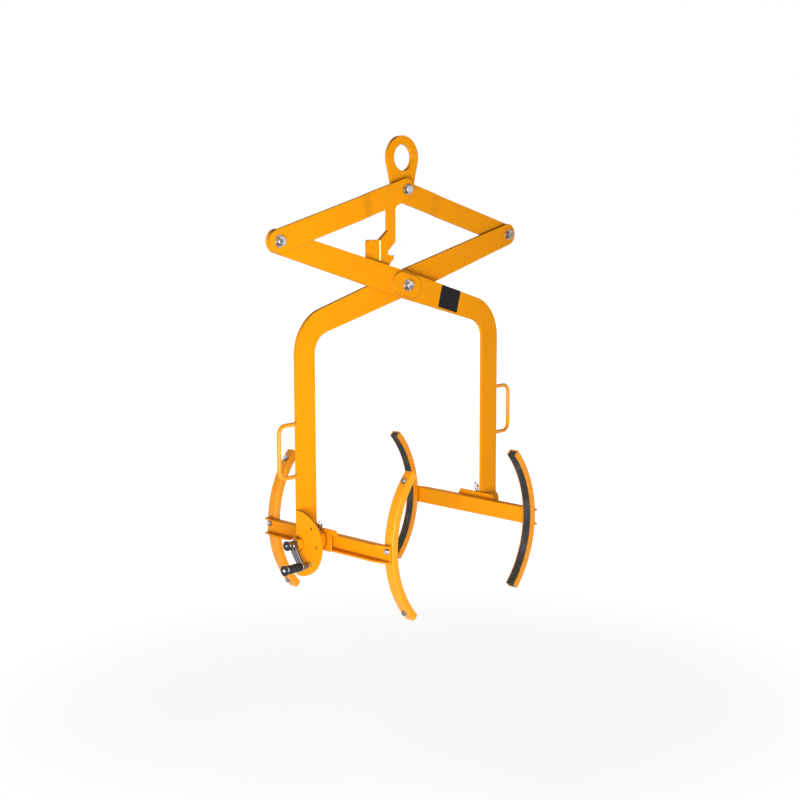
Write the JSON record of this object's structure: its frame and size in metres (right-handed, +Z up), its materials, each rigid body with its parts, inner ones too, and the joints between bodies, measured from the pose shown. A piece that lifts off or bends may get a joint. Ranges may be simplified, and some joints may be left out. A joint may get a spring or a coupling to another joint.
{
  "type": "drum lifter",
  "caption": "Scissor drum lifter: crossed arms close two tilting cradles on a lying drum as the lifting eye is pulled; a crank with index plunger turns it.",
  "frame": {"origin": "centre of the lifting eye's hole, at the middle of the plate", "axes": "+Z up; X along the trunnions, crank side at -X; Y along the drum, front at -Y"},
  "size_m": [1.0536, 0.526, 1.3484],
  "materials": {
    "yellow_paint": "gloss powder coat",
    "zinc": "bright zinc plate",
    "bright_steel": "ground steel",
    "bronze": "sintered bronze",
    "black_plastic": "moulded",
    "rubber": "matt"
  },
  "bodies": {
    "eye": {"eye_plate": "yellow_paint", "catch_tab": "yellow_paint"},
    "front_link": {"front_link": "yellow_paint", "top_bolt": "zinc", "top_nut": "zinc", "top_washers": "zinc", "top_spacers": "zinc", "left_bolt": "zinc", "left_nut": "zinc", "left_washers": "zinc"},
    "rear_link": {"rear_link": "yellow_paint", "right_bolt": "zinc", "right_nut": "zinc", "right_washers": "zinc"},
    "front_arm": {"front_arm": "yellow_paint", "front_doubler": "yellow_paint", "centre_bolt": "zinc", "centre_nut": "zinc", "centre_washers": "zinc", "centre_sleeve": "zinc", "right_handle": "yellow_paint", "right_tube": "yellow_paint", "right_bushes": "bronze", "right_nipple": "zinc"},
    "rear_arm": {"rear_arm": "yellow_paint", "rear_doubler": "yellow_paint", "left_handle": "yellow_paint", "left_tube": "yellow_paint", "left_bushes": "bronze", "left_nipple": "zinc", "index_plate": "yellow_paint"},
    "left_cradle": {"left_shaft": "bright_steel", "left_hub": "yellow_paint", "left_thrust_washer": "bronze", "left_beam": "yellow_paint", "left_front_bar": "yellow_paint", "left_rear_bar": "yellow_paint", "left_front_liner": "rubber", "left_rear_liner": "rubber", "left_pad_bolts": "zinc", "crank_arm": "zinc", "crank_cap": "black_plastic", "crank_bolt": "zinc", "plunger_barrel": "zinc", "plunger_grip": "black_plastic"},
    "plunger": {"plunger_pin": "bright_steel", "plunger_knob": "black_plastic", "plunger_collars": "zinc"},
    "right_cradle": {"right_shaft": "bright_steel", "right_hub": "yellow_paint", "right_thrust_washer": "bronze", "right_beam": "yellow_paint", "right_front_bar": "yellow_paint", "right_rear_bar": "yellow_paint", "right_front_liner": "rubber", "right_rear_liner": "rubber", "right_pad_bolts": "zinc", "right_end_washer": "zinc", "right_end_bolt": "zinc"}
  },
  "joints": [
    {"name": "eye_sway", "type": "hinge", "parent": "eye", "child": "front_link", "pos_m": [0, 0, -0.092], "axis": [0, 1, 0], "range_deg": [-14.7, 19.1]},
    {"name": "tong_open", "type": "hinge", "parent": "front_link", "child": "rear_link", "pos_m": [0, 0, -0.092], "axis": [0, -1, 0], "range_deg": [-2.4, 11.2]},
    {"name": "front_arm_fold", "type": "hinge", "parent": "front_link", "child": "front_arm", "pos_m": [-0.49386, 0, -0.23082], "axis": [0, -1, 0], "range_deg": [-2.6, 11.4]},
    {"name": "rear_arm_fold", "type": "hinge", "parent": "rear_link", "child": "rear_arm", "pos_m": [0.49386, 0, -0.23082], "axis": [0, 1, 0], "range_deg": [-2.6, 11.4]},
    {"name": "left_tilt", "type": "hinge", "parent": "rear_arm", "child": "left_cradle", "pos_m": [-0.377, 0, -1.074], "axis": [-1, 0, 0], "continuous": true},
    {"name": "plunger_slide", "type": "slide", "parent": "left_cradle", "child": "plunger", "axis": [1, 0, 0], "range_m": [0, 0.01]},
    {"name": "right_tilt", "type": "hinge", "parent": "front_arm", "child": "right_cradle", "pos_m": [0.377, 0, -1.074], "axis": [-1, 0, 0], "continuous": true}
  ],
  "couplings": [
    {"joint": "front_arm_fold", "follows": "tong_open", "ratio": 1},
    {"joint": "rear_arm_fold", "follows": "tong_open", "ratio": 1}
  ]
}
